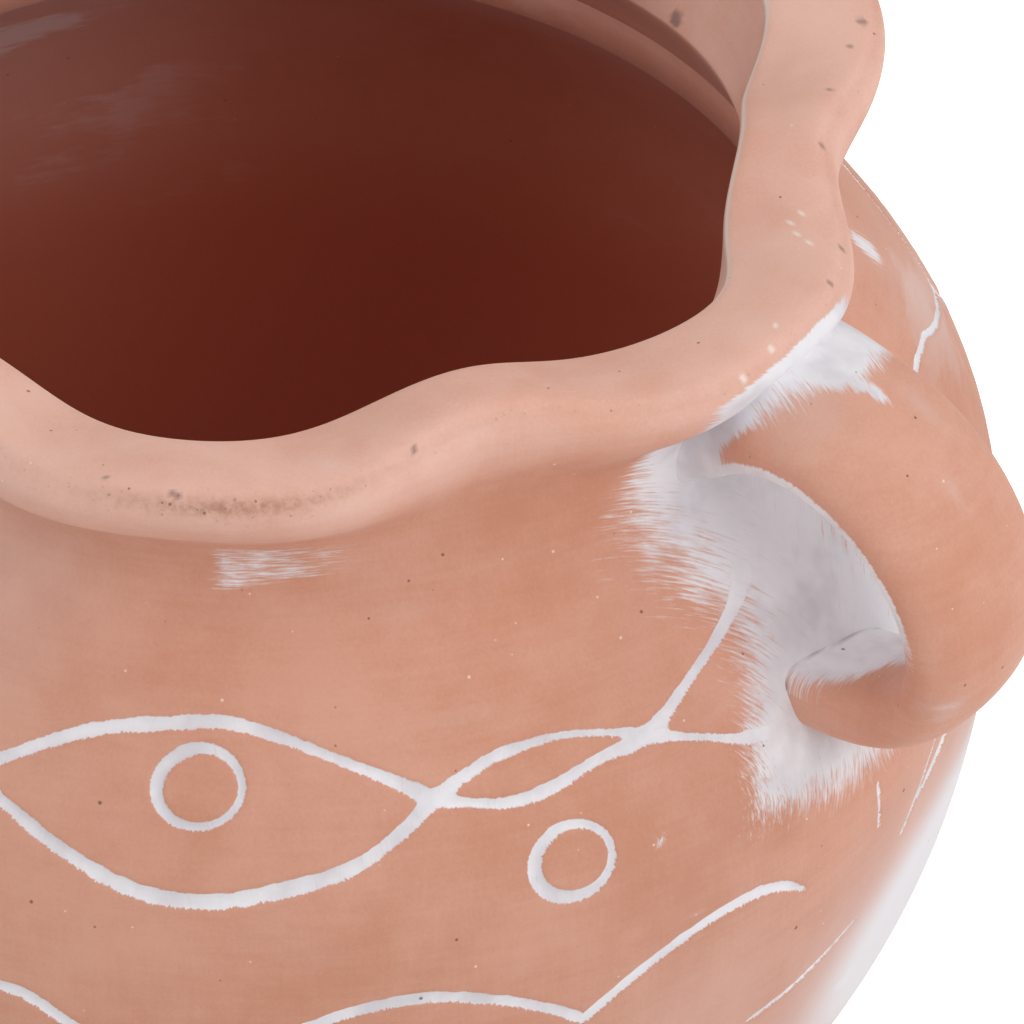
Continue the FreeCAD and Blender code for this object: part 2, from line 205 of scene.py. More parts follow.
def drawn_line(stroke, panel, seed):
    """One incised line on the wall: its turn, its length up the wall and its half width."""
    line = smooth_through(stroke, line_points)
    steps = range(len(line))
    shake = np.array([noise.noise(Vector((seed, step * 0.05, 0))) for step in steps])
    swell = np.array([noise.noise(Vector((seed + 9, step * 0.11, 5))) for step in steps])
    more_turn, more_height = panel_shifts[panel]
    along = along_at((line[:, 1] + more_height) * MM) + shake * hand_shake * (1 if panel else steady_hand)
    turn = np.radians(line[:, 0] + more_turn + panel_angles[panel])
    return np.stack([turn, along, line[:, 2] * MM * (1 + 0.25 * swell)], 1)


def drawn_circle(mark, panel, seed):
    """One incised circle, which overlaps itself a little where the tool came round."""
    offset, height, size, half, widest_side = mark
    more_turn, more_height = panel_shifts[panel]
    centre = along_at((height + more_height) * MM)
    reach = wall_at(centre)[0]
    round_turn = np.linspace(circle_start, circle_end, circle_points)
    swell = size * MM * (1 + 0.05 * np.sin(2 * round_turn + seed) + 0.04 * (round_turn - 5) / 6)
    turn = math.radians(offset + more_turn + panel_angles[panel]) + swell * np.cos(round_turn) / reach
    widths = half * MM * (1 + 0.28 * np.cos(round_turn - math.radians(widest_side)))
    return np.stack([turn, centre + swell * np.sin(round_turn), widths], 1)


def line_family(lines):
    """A search tree over the points of some lines, with their half widths and their runs."""
    points, halves, runs = [], [], []
    for number, line in enumerate(lines):
        reach, height, _, _ = wall_at(line[:, 1])
        places = np.stack([reach * np.cos(line[:, 0]), reach * np.sin(line[:, 0]), height], 1)
        lengths = np.linalg.norm(np.diff(places, axis=0), axis=1) / MM
        points.append(places)
        halves.append(line[:, 2])
        runs.append(np.concatenate([[0], np.cumsum(lengths)]) + number * 37)
    points, halves, runs = np.concatenate(points), np.concatenate(halves), np.concatenate(runs)
    tree = kdtree.KDTree(len(points))
    for index, point in enumerate(points):
        tree.insert(point, index)
    tree.balance()
    return tree, halves, runs


panels = range(len(panel_angles))
over_lines = [drawn_line(late_stroke if panel == late_panel else over_stroke, panel, panel * 7.3)
              for panel in panels]
under_lines = [
    drawn_line(late_under_stroke if panel == late_panel else under_stroke, panel, panel * 7.3 + 1.7)
    for panel in panels]
lower_lines = [drawn_line(stroke, panel, panel * 7.3 + number) for panel in panels
               for number, stroke in enumerate(scallop_strokes + drip_strokes, start=2)]
circle_lines = [drawn_circle(mark, panel, panel * 2 + number) for panel in panels
                for number, mark in enumerate(circle_marks) if (panel, number) != (late_panel, 0)]
families = [line_family(over_lines), line_family(under_lines), line_family(lower_lines + circle_lines)]


def nearest_line(points):
    """Each point's distance outside the lines, the run along the nearest, and 1 where it lies below."""
    edges = np.empty((len(families), len(points)))
    sides = np.empty((len(families), len(points), 2))
    for number, (tree, halves, runs) in enumerate(families):
        for index, point in enumerate(points):
            place, nearest, distance = tree.find(point)
            edges[number, index] = distance - halves[nearest]
            below = (place.z - point[2]) / max(distance, 0.1 * MM)
            sides[number, index] = runs[nearest], 0.5 + 0.5 * below
    side = np.take_along_axis(sides, edges.argmin(0)[None, :, None], 0)[0]
    edge = -merging * np.log(np.exp(-np.minimum(edges, far_off) / merging).sum(0))
    return edge, side[:, 0], np.clip(side[:, 1], 0, 1)


def woven_grid(columns, rows, is_fine, split):
    """Places and faces of a grid that closes both ways, with the marked cells split finer."""
    places = {}
    faces = []

    def corner_at(i, j):
        return places.setdefault((i % (columns * split), j % (rows * split)), len(places))

    for column in range(columns):
        for row in range(rows):
            i, j = column * split, row * split
            if is_fine[column, row]:
                for a in range(i, i + split):
                    for b in range(j, j + split):
                        square = (a, b), (a + 1, b), (a + 1, b + 1), (a, b + 1)
                        faces.append(tuple(corner_at(*place) for place in square))
                continue
            sides = [
                (is_fine[column, row - 1], i, j, 1, 0),
                (is_fine[(column + 1) % columns, row], i + split, j, 0, 1),
                (is_fine[column, (row + 1) % rows], i + split, j + split, -1, 0),
                (is_fine[column - 1, row], i, j + split, 0, -1),
            ]
            loop = []
            for next_is_fine, x, y, step_x, step_y in sides:
                steps = range(split if next_is_fine else 1)
                loop += [corner_at(x + step_x * k, y + step_y * k) for k in steps]
            faces.append(tuple(loop))
    return np.array(list(places)), faces


def turned_from(angle, degrees):
    """Angles in radians as turns from a place given in degrees, from minus to plus half a turn."""
    return (angle - math.radians(degrees) + math.pi) % (2 * math.pi) - math.pi


def handle_offset(angle):
    """Turn from the nearest ear, in radians, for angles in radians."""
    offsets = np.array([turned_from(angle, ear) for ear in handle_angles.values()])
    return np.take_along_axis(offsets, np.abs(offsets).argmin(0)[None], 0)[0]


# The slip brushed round an ear: how far it reaches to the left and right at each height, and over what
# length the brush runs dry there. Its foot slants up on the left side.
wash_heights = np.array([90, 96, 100, 107, 113, 118, 122, 127, 132, 138, 144, 152]) * MM
wash_left = np.array([17, 19, 19, 17.5, 14, 12.5, 15, 17, 17.5, 16.5, 14.5, 13]) * MM
wash_right = np.array([5, 7, 13, 17, 15, 14, 15, 17, 18, 17, 15, 12]) * MM
wash_fringe = np.array([3.5, 3, 2.5, 2.8, 4, 5.5, 6.5, 7, 5, 2.2, 1.5, 1.2]) * MM
wash_foot = 93.0 * MM
foot_fringe = 3.2 * MM
foot_slant = 0.25
slant_start = 4 * MM
sweep_centre = np.array([29.0, 98.0]) * MM
sweep_scale = 25
no_slip = -3.0
solid_slip = 2
dab_middle = 2.4
# Single dabs, wiped films and, inside, pale patches of painted light: degrees round the pot, millimetres
# up, half sizes across and up, and for a film or patch how thick it was left.
slip_dabs = [(-50.8, 99.4, 0.6, 0.8), (12.2, 125, 2, 2.2), (88, 120, 2.5, 1), (-163, 104, 1.2, 1.6)]
slip_films = [(-45, 64, 20, 24, 0.9), (-14, 55, 30, 21, 6), (12, 118, 13, 12, 0.55),
              (-108, 129, 13, 11, 0.9), (-137, 56, 22, 20, 3.4), (103, 56, 22, 20, 3),
              (176, 80, 20, 16, 0.5), (60, 66, 18, 14, 0.5)]
# Painted light on the inside wall: pale patches where light falls in through the mouth.
inside_light_patches = [(121, 104, 26, 26, 1.4), (48, 130, 30, 10, 0.6), (-100, 100, 30, 20, 0.3)]


def wash_and_stroke(radius, angle, height):
    """Cover of the brushed slip, above 0 where it is solid, and places along and across the brush marks."""
    aside = handle_offset(angle) * radius
    fringe = np.interp(height, wash_heights, wash_fringe)
    left = (aside + np.interp(height, wash_heights, wash_left)) / fringe
    right = (np.interp(height, wash_heights, wash_right) - aside) / fringe
    below = (height - wash_foot - foot_slant * np.maximum(0, -aside - slant_start)) / foot_fringe
    cover = np.minimum(np.minimum(left, right), below)
    for place, up, half_across, half_up in slip_dabs:
        across = turned_from(angle, place) * radius / (half_across * MM)
        away = np.hypot(across, (height - up * MM) / (half_up * MM))
        cover = np.maximum(cover, dab_middle - dab_middle * away)
    across, above = (sweep_centre[0] - np.abs(aside)) / MM, (height - sweep_centre[1]) / MM
    sweep = np.arctan2(above, across) * sweep_scale
    marks = np.stack([sweep, np.hypot(across, above), np.zeros_like(sweep)], 1)
    return np.clip(cover, no_slip, solid_slip), marks


def film_and_light_left(films, radius, angle, height):
    """How thick a wiped film was left, or how strong a pale patch of painted light is inside: 0 is none, 1
    a veil and more than 2 nearly solid.
    """
    film_and_light = np.zeros_like(radius)
    for place, up, half_across, half_up, amount in films:
        across = turned_from(angle, place) * radius / (half_across * MM)
        away = across ** 2 + ((height - up * MM) / (half_up * MM)) ** 2
        film_and_light = np.maximum(film_and_light, amount * np.exp(-away))
    return film_and_light


def build_mesh(name, points, faces, values):
    """A smooth mesh object with named values on its points."""
    mesh = bpy.data.meshes.new(name)
    mesh.from_pydata(points.tolist(), [], faces)
    mesh.polygons.foreach_set("use_smooth", [True] * len(mesh.polygons))
    for key, numbers in values.items():
        numbers = np.asarray(numbers, np.float32)
        if numbers.ndim == 2:
            mesh.attributes.new(key, "FLOAT_VECTOR", "POINT").data.foreach_set("vector", numbers.ravel())
        else:
            mesh.attributes.new(key, "FLOAT", "POINT").data.foreach_set("value", numbers)
    mesh.update()
    piece = bpy.data.objects.new(name, mesh)
    bpy.context.scene.collection.objects.link(piece)
    return piece


columns = 240
split = 5
fine_reach = 1.9 * MM
cut_edge = 0.2 * MM
cut_run = 0.7 * MM
burr_place = 0.4 * MM
burr_half = 0.3 * MM
felt_grain, felt_height, felt_sink = 20, 0.22, 0.2
felt_fade = 9 * MM
# From this height down, over this depth, the inside is painted darker red: deeper clay and painted shade.
inside_shade_top = 147 * MM
inside_shade_depth = 77 * MM
outer_rows = round(wall_length / wall_step)
rows = outer_rows + len(inside)
outer_along = np.linspace(0, wall_length, outer_rows + 1)
middle_turn = (np.arange(columns) + 0.5) / columns * 2 * math.pi
middle_along = (outer_along[:-1] + outer_along[1:]) / 2
middle_r, middle_z, _, _ = wall_at(middle_along)
is_fine = np.zeros((columns, rows), bool)
for row in range(1, outer_rows - 1):
    ring = np.stack([middle_r[row] * np.cos(middle_turn), middle_r[row] * np.sin(middle_turn),
                     np.full(columns, middle_z[row])], 1)
    is_fine[:, row] = nearest_line(ring)[0] < fine_reach
grid, wall_faces = woven_grid(columns, rows, is_fine, split)
turn = grid[:, 0] / (columns * split) * 2 * math.pi
row_place = grid[:, 1] / split
on_outside = row_place <= outer_rows
along = np.interp(row_place, np.arange(outer_rows + 1), outer_along)
radius, height, out_r, out_z = wall_at(along)
ring_points = np.concatenate([[seat_edge], inside, [outside[0]]])
ring_place = np.arange(len(ring_points)) + outer_rows
radius = np.where(on_outside, radius, np.interp(row_place, ring_place, ring_points[:, 0]))
height = np.where(on_outside, height, np.interp(row_place, ring_place, ring_points[:, 1]))
bare = np.stack([radius * np.cos(turn), radius * np.sin(turn), height], 1)
edge, line_run, is_below = nearest_line(bare)
edge = np.where(on_outside, edge, far_off)
cover, stroke = wash_and_stroke(radius, turn, height)
# Outside these are films of wiped slip. Inside they are pale patches of painted light.
film_and_light = np.where(on_outside, film_and_light_left(slip_films, radius, turn, height),
                film_and_light_left(inside_light_patches, radius, turn, height))
unfilled = np.clip(1 - cover, 0, 1)
cut = np.clip((cut_edge - edge) / cut_run, 0, 1)
cut = cut * cut * (3 - 2 * cut) * unfilled
burr = np.exp(-((edge - burr_place) / burr_half) ** 2) * unfilled
uneven = np.array([noise.noise(Vector(p) * felt_grain) * felt_height - felt_sink for p in bare]) * MM
lift = uneven * np.clip(np.minimum(along - 3 * MM, wall_length - 2 * MM - along) / felt_fade, 0, 1)
lift = lift - cut * line_depth * on_outside + burr * burr_height * on_outside
radius = radius + lift * out_r * on_outside
height = height + lift * out_z * on_outside
wall_points = np.stack([radius * np.cos(turn), radius * np.sin(turn), height], 1)
# Painted shade: the inside wall is blended to a darker red, more towards the bottom. It stands for the
# deeper clay and the shade inside the pot.
inside_red_and_shade = np.where(on_outside, 0, np.clip((inside_shade_top - height) / inside_shade_depth, 0, 1))
pot_body = build_mesh("belly", wall_points, wall_faces, {
    "line": np.stack([line_run, np.clip(edge / MM, -2, 6), is_below], 1),
    "wash": np.where(on_outside, cover, no_slip),
    "stroke": stroke,
    "film_and_light": film_and_light,
    "inner": inside_red_and_shade,
})


def add(tree, kind, inputs=None, **settings):
    """Add a shader node, with its settings, and give each input a value or a link."""
    made = tree.nodes.new(kind)
    for name, value in settings.items():
        setattr(made, name, value)
    for name, value in (inputs or {}).items():
        socket = made.inputs[name]
        if isinstance(value, bpy.types.NodeSocket):
            tree.links.new(value, socket)
        else:
            socket.default_value = value
    return made


def maths(tree, operation, first, second=0.0, third=0.0):
    """One step of arithmetic."""
    return add(tree, "ShaderNodeMath", {0: first, 1: second, 2: third}, operation=operation).outputs[0]


def stretched(tree, position, scale):
    """The position with each direction scaled by itself."""
    return add(tree, "ShaderNodeVectorMath", {0: position, 1: scale}, operation="MULTIPLY").outputs[0]


def cloud(tree, position, scale, detail=2.0, roughness=0.5):
    """Soft noise, about 0 to 1."""
    return add(tree, "ShaderNodeTexNoise", {
        "Vector": position, "Scale": scale, "Detail": detail, "Roughness": roughness}).outputs["Fac"]


def ramp(tree, value, low, high, to_low=0.0, to_high=1.0):
    """A smooth step from one value to another."""
    return add(tree, "ShaderNodeMapRange", {
        "Value": value, "From Min": low, "From Max": high, "To Min": to_low, "To Max": to_high},
        interpolation_type="SMOOTHSTEP").outputs[0]


def blended(tree, factor, first, second):
    """Two colours mixed by a factor."""
    mix = tree.nodes.new("ShaderNodeMix")
    mix.data_type = "RGBA"
    for place, value in ((0, factor), (6, first), (7, second)):
        if isinstance(value, bpy.types.NodeSocket):
            tree.links.new(value, mix.inputs[place])
        else:
            mix.inputs[place].default_value = value
    return mix.outputs[2]


def shader_group(name, inputs, outputs):
    """An empty node group with named sockets."""
    group = bpy.data.node_groups.new(name, "ShaderNodeTree")
    kinds = {"value": "NodeSocketFloat", "colour": "NodeSocketColor", "vector": "NodeSocketVector"}
    for label, kind in inputs.items():
        group.interface.new_socket(label, in_out="INPUT", socket_type=kinds[kind])
    for label, kind in outputs.items():
        group.interface.new_socket(label, in_out="OUTPUT", socket_type=kinds[kind])
    return group, group.nodes.new("NodeGroupInput").outputs, group.nodes.new("NodeGroupOutput").inputs


def linear(red, green, blue):
    """A colour as the eye reads it, 0 to 255, turned into the light values that a shader takes."""
    shares = [value / 255 for value in (red, green, blue)]
    return (*[s / 12.92 if s <= 0.04045 else ((s + 0.055) / 1.055) ** 2.4 for s in shares], 1)


# Clay: cloudy colour from the firing, faint level and upright marks of the wet cloth, and grain.
clay_group, given, result = shader_group(
    "wiped_clay", {"Position": "vector", "Pale": "colour", "Deep": "colour"},
    {"Color": "colour", "Height": "value"})
wide_cloud = cloud(clay_group, given["Position"], 0.024, 3.0, 0.6)
small_cloud = cloud(clay_group, given["Position"], 0.13, 2.0, 0.6)
wipes = cloud(clay_group, stretched(clay_group, given["Position"], (0.06, 0.06, 1.1)), 1.0, 2.0, 0.6)
combing = cloud(clay_group, stretched(clay_group, given["Position"], (1.9, 1.9, 0.06)), 1.0, 1.0)
grain = cloud(clay_group, given["Position"], 2.6, 2.0, 0.7)
depth = maths(clay_group, "MULTIPLY_ADD", wide_cloud, 0.95, maths(clay_group, "MULTIPLY", small_cloud, 0.4))
for marks, strength in ((wipes, 0.16), (combing, 0.1), (grain, 0.22)):
    depth = maths(clay_group, "MULTIPLY_ADD", maths(clay_group, "SUBTRACT", marks, 0.5), strength, depth)
clay_colour = blended(clay_group, ramp(clay_group, depth, 0.4, 0.98), given["Pale"], given["Deep"])
clay_group.links.new(clay_colour, result["Color"])
clay_group.links.new(maths(clay_group, "MULTIPLY_ADD", wipes, 0.25, grain), result["Height"])

# Grit: pinholes and grains, scattered singly, each its own size.
grit_group, given, result = shader_group(
    "clay_grit", {"Position": "vector", "Spacing": "value", "Size": "value"}, {"Mask": "value"})
spread = add(grit_group, "ShaderNodeVectorMath", {0: given["Position"]}, operation="SCALE")
grit_group.links.new(maths(grit_group, "DIVIDE", 1.0, given["Spacing"]), spread.inputs["Scale"])
cell = add(grit_group, "ShaderNodeTexVoronoi", {
    "Vector": spread.outputs[0], "Scale": 1.0, "Randomness": 1.0})
near = maths(grit_group, "MULTIPLY", cell.outputs["Distance"], given["Spacing"])
chance = add(grit_group, "ShaderNodeSeparateColor", {"Color": cell.outputs["Color"]})
own_size = maths(grit_group, "MULTIPLY", given["Size"], ramp(grit_group, chance.outputs[0], 0.3, 1.0))
spot = maths(grit_group, "SUBTRACT", own_size, near)
grit_group.links.new(ramp(grit_group, spot, -0.05, 0.06), result["Mask"])

# Slip in an incised line: solid white, crisp along the upper edge and torn along the lower.
line_group, given, result = shader_group(
    "slip_in_line", {"Line": "vector", "Position": "vector"}, {"Mask": "value", "Height": "value"})
on_line = add(line_group, "ShaderNodeSeparateXYZ", {0: given["Line"]}).outputs
tear = cloud(line_group, stretched(line_group, given["Line"], (2.4, 0.5, 0.0)), 1.0, 3.0, 0.75)
rough = cloud(line_group, given["Position"], 2.2, 2.0, 0.6)
tear_size = maths(line_group, "MULTIPLY_ADD", on_line["Z"], 1.0, 0.15)
torn = maths(line_group, "MULTIPLY", maths(line_group, "SUBTRACT", tear, 0.5), tear_size)
torn = maths(line_group, "MULTIPLY_ADD", maths(line_group, "SUBTRACT", rough, 0.5), 0.35, torn)
torn = maths(line_group, "ADD", torn, on_line["Y"])
line_group.links.new(ramp(line_group, torn, 0.06, -0.07), result["Mask"])
line_group.links.new(ramp(line_group, on_line["Y"], 0.12, -0.2), result["Height"])

# Slip brushed on nearly dry: solid in the middle, and single bristle marks where the brush ran out.
brush_group, given, result = shader_group(
    "dry_brush", {"Cover": "value", "Stroke": "vector", "Position": "vector"},
    {"Mask": "value", "Bristles": "value"})
bristles = cloud(brush_group, stretched(brush_group, given["Stroke"], (0.13, 1.2, 1.0)), 1.0, 3.0, 0.7)
hairs = cloud(brush_group, stretched(brush_group, given["Stroke"], (0.28, 3.4, 1.0)), 1.0, 3.0, 0.65)
lumps = cloud(brush_group, given["Position"], 0.3, 3.0, 0.6)
marks = maths(brush_group, "MULTIPLY_ADD", bristles, 1.3, maths(brush_group, "MULTIPLY", hairs, 4.4))
marks = maths(brush_group, "MULTIPLY_ADD", lumps, 1.0, marks)
reach = maths(brush_group, "SUBTRACT", maths(brush_group, "ADD", given["Cover"], marks), 3.35)
brush_group.links.new(ramp(brush_group, reach, -0.6, 1.1), result["Mask"])
brush_group.links.new(hairs, result["Bristles"])

# Film: slip wiped off again, which leaves a thin veil with ragged ends. Inside, the same veil shapes the
# painted light.
film_group, given, result = shader_group("wiped_film", {"Position": "vector"}, {"Mask": "value"})
veil = cloud(film_group, stretched(film_group, given["Position"], (0.03, 0.03, 0.075)), 1.0, 3.0, 0.6)
ragged = cloud(film_group, stretched(film_group, given["Position"], (0.25, 0.25, 1.1)), 1.0, 3.0, 0.7)
veil = maths(film_group, "MULTIPLY_ADD", maths(film_group, "SUBTRACT", ragged, 0.5), 0.22, veil)
film_group.links.new(ramp(film_group, veil, 0.57, 0.7), result["Mask"])


def placed_group(tree, group, inputs):
    """A node group put into a material, with its values and links."""
    made = tree.nodes.new("ShaderNodeGroup")
    made.node_tree = group
    for name, value in inputs.items():
        if isinstance(value, bpy.types.NodeSocket):
            tree.links.new(value, made.inputs[name])
        else:
            made.inputs[name].default_value = value
    return made.outputs


def grit_mask(tree, position, spacing, size):
    """Where grit of one spacing and size lies, both in millimetres."""
    return placed_group(tree, grit_group, {"Position": position, "Spacing": spacing, "Size": size})["Mask"]


clay_pale, clay_deep = linear(221, 162, 138), linear(205, 138, 108)
lip_pale, lip_deep = linear(241, 193, 176), linear(227, 166, 142)
slip_white, slip_grey = linear(242, 239, 243), linear(223, 218, 223)
# The cream colour makes the light grains and also a painted highlight along the mouth's edge.
pinhole_brown, cream_grain_and_highlight = linear(112, 74, 58), linear(250, 234, 222)
# The dirt and shade colour darkens the lip's groove: dirt, and painted shade.
film_and_light_colour, dirt_and_shade_colour, dirt_speck = linear(231, 211, 208), linear(168, 120, 97), linear(108, 78, 66)
# The inside red stands for the deeper clay inside together with painted shade.
inside_red_shade_colour, seam_grey, iron_grey = linear(188, 97, 71), linear(138, 124, 122), linear(126, 100, 98)
bump_depth = 0.14 * MM
# The values that the meshes carry on their points for the clay's finish and for its painted shade and
# light.
mark_names = ("line", "wash", "stroke", "pale", "film_and_light", "dirt_and_shade", "highlight_and_flecks", "inner", "seam", "speck")


def fired_clay(name):
    """Terracotta, paler towards the lip, with its grit and the slip left in lines and brush marks."""
    material = bpy.data.materials.new(name)
    material.use_nodes = True
    tree = material.node_tree
    shader = tree.nodes["Principled BSDF"]
    place = add(tree, "ShaderNodeTexCoord").outputs["Object"]
    scaled = add(tree, "ShaderNodeVectorMath", {0: place, "Scale": 1000.0}, operation="SCALE")
    millimetres = scaled.outputs[0]
    marks = {key: add(tree, "ShaderNodeAttribute", attribute_name=key).outputs for key in mark_names}
    clay = placed_group(tree, clay_group, {
        "Position": millimetres,
        "Pale": blended(tree, marks["pale"]["Fac"], clay_pale, lip_pale),
        "Deep": blended(tree, marks["pale"]["Fac"], clay_deep, lip_deep)})
    film_and_light = placed_group(tree, film_group, {"Position": millimetres})["Mask"]
    film_and_light = maths(tree, "MULTIPLY_ADD", film_and_light, 0.45, 0.25)
    film_and_light = maths(tree, "MULTIPLY", film_and_light, maths(tree, "MULTIPLY_ADD", marks["film_and_light"]["Fac"], 1.0, 0.15))
    colour = blended(tree, film_and_light, clay["Color"], film_and_light_colour)
    colour = blended(tree, ramp(tree, film_and_light, 0.45, 1.1, 0.0, 0.95), colour, slip_white)
    # Dirt with painted shade: a soft darker band in the lip's groove. The dark specks in it are grit.
    groove_dirt_and_shade = ramp(tree, cloud(tree, millimetres, 0.9, 3.0, 0.7), 0.3, 0.7)
    groove_dirt_and_shade = maths(tree, "MULTIPLY", marks["dirt_and_shade"]["Fac"], maths(tree, "MULTIPLY_ADD", groove_dirt_and_shade, 0.5, 0.4))
    colour = blended(tree, groove_dirt_and_shade, colour, dirt_and_shade_colour)
    specks = grit_mask(tree, millimetres, 0.8, 0.2)
    colour = blended(tree, maths(tree, "MULTIPLY", specks, marks["dirt_and_shade"]["Fac"]), colour, dirt_speck)
    # Painted highlight along the mouth's edge, with the slip flecks on the lip.
    colour = blended(tree, maths(tree, "MULTIPLY", marks["highlight_and_flecks"]["Fac"], 0.9), colour, cream_grain_and_highlight)
    grains = grit_mask(tree, millimetres, 2.8, 0.19)
    colour = blended(tree, maths(tree, "MULTIPLY", grains, 0.6), colour, cream_grain_and_highlight)
    line = placed_group(tree, line_group, {"Line": marks["line"]["Vector"], "Position": millimetres})
    brushed = placed_group(tree, brush_group, {
        "Cover": marks["wash"]["Fac"], "Stroke": marks["stroke"]["Vector"], "Position": millimetres})
    slip = maths(tree, "MAXIMUM", line["Mask"], brushed["Mask"])
    thinner = ramp(tree, cloud(tree, millimetres, 0.1, 3.0, 0.6), 0.4, 0.7)
    chalk = blended(tree, thinner, slip_white, slip_grey)
    chalk = blended(tree, ramp(tree, brushed["Bristles"], 0.45, 0.2, 0.0, 0.3), chalk, colour)
    colour = blended(tree, slip, colour, chalk)
    pinholes = grit_mask(tree, millimetres, 3.8, 0.27)
    colour = blended(tree, maths(tree, "MULTIPLY", pinholes, 0.75), colour, pinhole_brown)
    colour = blended(tree, marks["seam"]["Fac"], colour, seam_grey)
    colour = blended(tree, maths(tree, "MULTIPLY", marks["speck"]["Fac"], 0.7), colour, iron_grey)
    # Painted shade: the inside, and a little of the throat's underside, is blended to a darker red, which
    # also stands for the deeper clay inside.
    colour = blended(tree, marks["inner"]["Fac"], colour, inside_red_shade_colour)
    # Inside, a faint pale veil of dust everywhere, and pale patches of painted light where light falls in
    # through the mouth.
    dust_and_painted_light = maths(tree, "MULTIPLY", maths(tree, "MULTIPLY", film_and_light, marks["inner"]["Fac"]), 0.5)
    colour = blended(tree, dust_and_painted_light, colour, film_and_light_colour)
    tree.links.new(colour, shader.inputs["Base Color"])
    dryness = ramp(tree, clay["Height"], 0.4, 0.8, 0.66, 0.78)
    tree.links.new(maths(tree, "MULTIPLY_ADD", slip, 0.06, dryness), shader.inputs["Roughness"])
    shader.inputs["Specular IOR Level"].default_value = 0.3
    shader.inputs["Sheen Weight"].default_value = 0.12
    shader.inputs["Sheen Roughness"].default_value = 0.35
    relief = maths(tree, "MULTIPLY_ADD", pinholes, -0.8, maths(tree, "MULTIPLY", clay["Height"], 0.5))
    relief = maths(tree, "MULTIPLY_ADD", slip, 0.35, relief)
    relief = maths(tree, "MULTIPLY_ADD", line["Height"], -1.2, relief)
    bump = add(tree, "ShaderNodeBump", {"Height": relief, "Strength": 0.5, "Distance": bump_depth})
    tree.links.new(bump.outputs[0], shader.inputs["Normal"])
    return material


pot_body.data.materials.append(fired_clay("belly_clay"))
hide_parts("pot_body")
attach(pot_body, "root")


# rim_collar: the neck and the broad rolled lip, thrown as a ring of the same clay, luted on the shoulder
# and pressed by hand into six lobes while soft. The groove behind the rolled edge is darkened with dirt and
# with painted shade.

lobe_swing = 3.9 * MM
lobe_point = 1.1 * MM
slow_lift = -0.5 * MM
quick_lift = 1.3 * MM
collar_columns = 720
collar_spans = 3
# Each ring: radius, height from the crest, and shares of the swing, the point and the lift.
collar_rings = [
    (75.2, -26.3, 0, 0, 0), (73.2, -23.9, 0, 0, 0), (71.6, -22.0, 0.02, 0, 0), (70.3, -19.8, 0.06, 0, 0),
    (69.5, -17.2, 0.1, 0, 0), (69.1, -14.4, 0.2, 0, 0), (69.3, -12.2, 0.3, -0.1, 0),
    (70.0, -10.2, 0.43, -0.25, 0.03), (71.2, -8.5, 0.6, -0.4, 0.12), (72.6, -7.0, 0.77, -0.52, 0.2),
    (73.9, -5.5, 0.9, -0.62, 0.28), (74.8, -3.9, 1.03, -0.7, 0.36), (75.3, -2.3, 1.16, -0.66, 0.42),
    (75.4, -0.9, 1.26, -0.6, 0.45), (75.1, 0.1, 1.3, -0.55, 0.48), (74.5, 0.75, 1.31, -0.52, 0.5),
    (73.9, 1.2, 1.3, -0.47, 0.5), (73.2, 1.75, 1.28, -0.4, 0.52), (72.2, 2.05, 1.25, -0.25, 0.6),
    (70.4, 2.1, 1.2, 0.1, 0.65), (68.4, 1.9, 1.12, 0.35, 0.72), (66.35, 1.55, 1.05, 0.6, 0.8),
    (64.0, 1.05, 1.0, 0.85, 0.92), (62.3, 0.65, 1, 1, 1), (61.45, 0.35, 1, 1, 1), (61.0, -0.05, 1, 1, 1),
    (60.75, -0.6, 1, 1, 1), (60.6, -1.6, 0.97, 0.95, 0.92), (60.1, -5.3, 0.7, 0.55, 0.45),
    (59.75, -8.6, 0.4, 0.2, 0.1), (59.52, -10.3, 0.22, 0.02, 0), (59.55, -10.75, 0.2, 0, 0),
    (60.0, -11.6, 0.15, 0, 0), (62.0, -14.6, 0.05, 0, 0), (64.4, -18.3, 0, 0, 0), (65.9, -21.3, 0, 0, 0),
    (69.0, -24.0, 0, 0, 0),
]
groove_ring, mouth_ring = 15.3, 25.0
pressed_grain, pressed_height, pressed_sink = 28, 0.25, 0.12
profile = smooth_through(collar_rings, collar_spans)
turn = np.arange(collar_columns) / collar_columns * 2 * math.pi
phase = 6 * (turn - math.radians(panel_angles[0]))
slow_wave, quick_wave = np.cos(phase), np.cos(2 * phase)
radius = (profile[:, 0, None] * MM + profile[:, 2, None] * lobe_swing * slow_wave
          + profile[:, 3, None] * lobe_point * quick_wave)
height = crest_height + profile[:, 1, None] * MM + profile[:, 4, None] * (
    slow_lift * slow_wave + quick_lift * quick_wave)
turns = np.broadcast_to(turn, radius.shape)
collar_points = np.stack([radius * np.cos(turns), radius * np.sin(turns), height], 2).reshape(-1, 3)
rings_here = np.arange(len(profile))[:, None] * collar_columns
rings_next = np.roll(rings_here, -1)
here = np.arange(collar_columns)
beside = np.roll(here, -1)
collar_faces = np.stack([rings_here + here, rings_here + beside, rings_next + beside, rings_next + here], 2)
radius, height, turns = radius.ravel(), height.ravel(), turns.ravel()
on_ring = np.repeat(np.arange(len(profile)) / collar_spans, collar_columns)
uneven = [noise.noise(Vector(p) * pressed_grain) * pressed_height - pressed_sink for p in collar_points]
on_lip = np.clip((on_ring - 8) / 4, 0, 1) * np.clip((29 - on_ring) / 3, 0, 1)
collar_points[:, 2] += np.array(uneven) * MM * on_lip
cover, stroke = wash_and_stroke(radius, turns, height)

